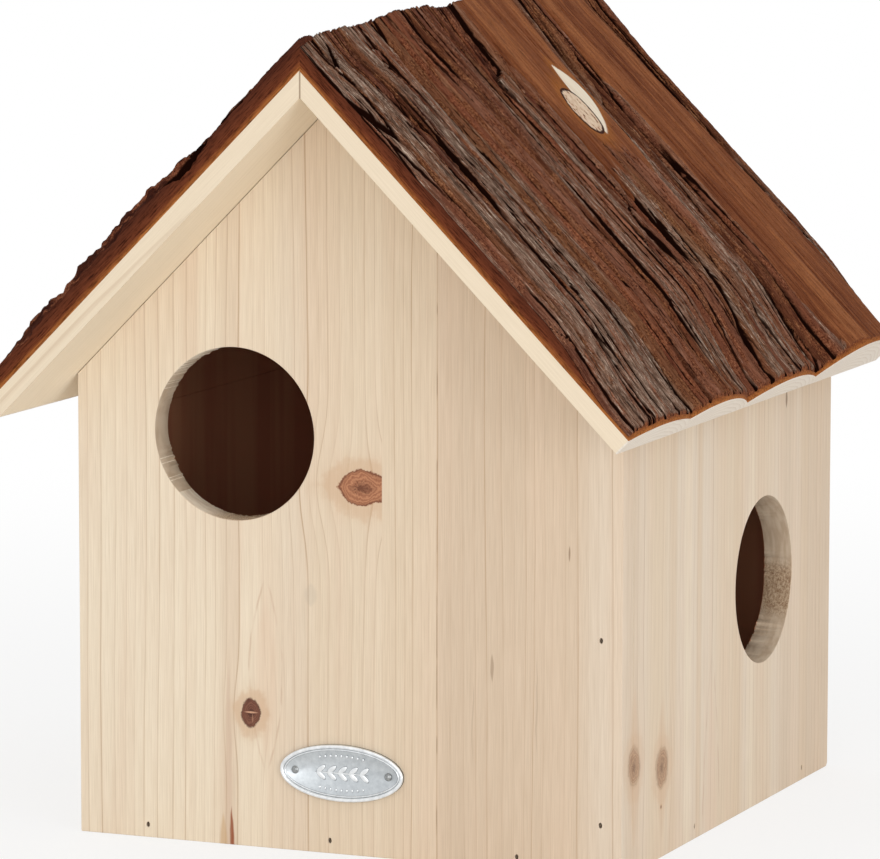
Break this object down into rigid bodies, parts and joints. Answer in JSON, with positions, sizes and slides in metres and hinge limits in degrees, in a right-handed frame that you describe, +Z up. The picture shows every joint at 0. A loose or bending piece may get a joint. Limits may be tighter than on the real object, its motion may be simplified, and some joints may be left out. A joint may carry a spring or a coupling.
{
  "type": "squirrel nest box",
  "caption": "Gabled wooden nest box with round front and side entrances, a bark-clad pitched roof, an oval plate, a hinged cleaning door and a keyhole hanger.",
  "frame": {"origin": "on the ground plane, under the middle of the roof", "axes": "+Z up, +Y from the front to the back, +X to the right of someone facing the front"},
  "size_m": [0.3066, 0.33, 0.3561],
  "materials": {
    "pale_board": "planed pale softwood, unpainted, edge-glued staves with a few knots",
    "slab_wood": "sawn pale softwood with end grain at the verge and eave",
    "bark": "rough furrowed red-brown bark, grey on the ridges, orange where it is sawn",
    "cast_zinc": "cast zinc, dull and mottled",
    "nail_steel": "dull bright-drawn steel",
    "plated_steel": "zinc-plated steel, satin"
  },
  "bodies": {
    "box": {"back_floor_nails": "nail_steel", "back_panel": "pale_board", "back_wall_nails": "nail_steel", "floor_panel": "pale_board", "front_floor_nails": "nail_steel", "front_panel": "pale_board", "front_wall_nails": "nail_steel", "hanger_plate": "plated_steel", "hanger_screws": "plated_steel", "hinge_frame_screws": "plated_steel", "left_header_rail": "pale_board", "left_roof_bark_1": "bark", "left_roof_bark_2": "bark", "left_roof_bark_3": "bark", "left_roof_bark_4": "bark", "left_roof_slab_1": "slab_wood", "left_roof_slab_2": "slab_wood", "left_roof_slab_3": "slab_wood", "left_roof_slab_4": "slab_wood", "lower_hinge_frame_leaf": "plated_steel", "lower_hinge_pin": "plated_steel", "oval_plate": "cast_zinc", "plate_pins": "plated_steel", "right_roof_bark_1": "bark", "right_roof_bark_2": "bark", "right_roof_bark_3": "bark", "right_roof_bark_4": "bark", "right_roof_slab_1": "slab_wood", "right_roof_slab_2": "slab_wood", "right_roof_slab_3": "slab_wood", "right_roof_slab_4": "slab_wood", "right_wall": "pale_board", "roof_nails": "nail_steel", "side_floor_nails": "nail_steel", "turn_button_screw": "plated_steel", "turn_button_washer": "plated_steel", "upper_hinge_frame_leaf": "plated_steel", "upper_hinge_pin": "plated_steel"},
    "door": {"cleaning_door": "pale_board", "upper_hinge_door_leaf": "plated_steel", "lower_hinge_door_leaf": "plated_steel", "hinge_door_screws": "plated_steel"},
    "button": {"turn_button": "plated_steel"}
  },
  "joints": [
    {"name": "door_swing", "type": "hinge", "parent": "box", "child": "door", "pos_m": [-0.1275, 0.1314, 0.09125], "axis": [0, 0, -1], "range_deg": [0, 175]},
    {"name": "button_turn", "type": "hinge", "parent": "box", "child": "button", "pos_m": [-0.1267, -0.057, 0.1884], "axis": [1, 0, 0], "range_deg": [0, 180]}
  ]
}
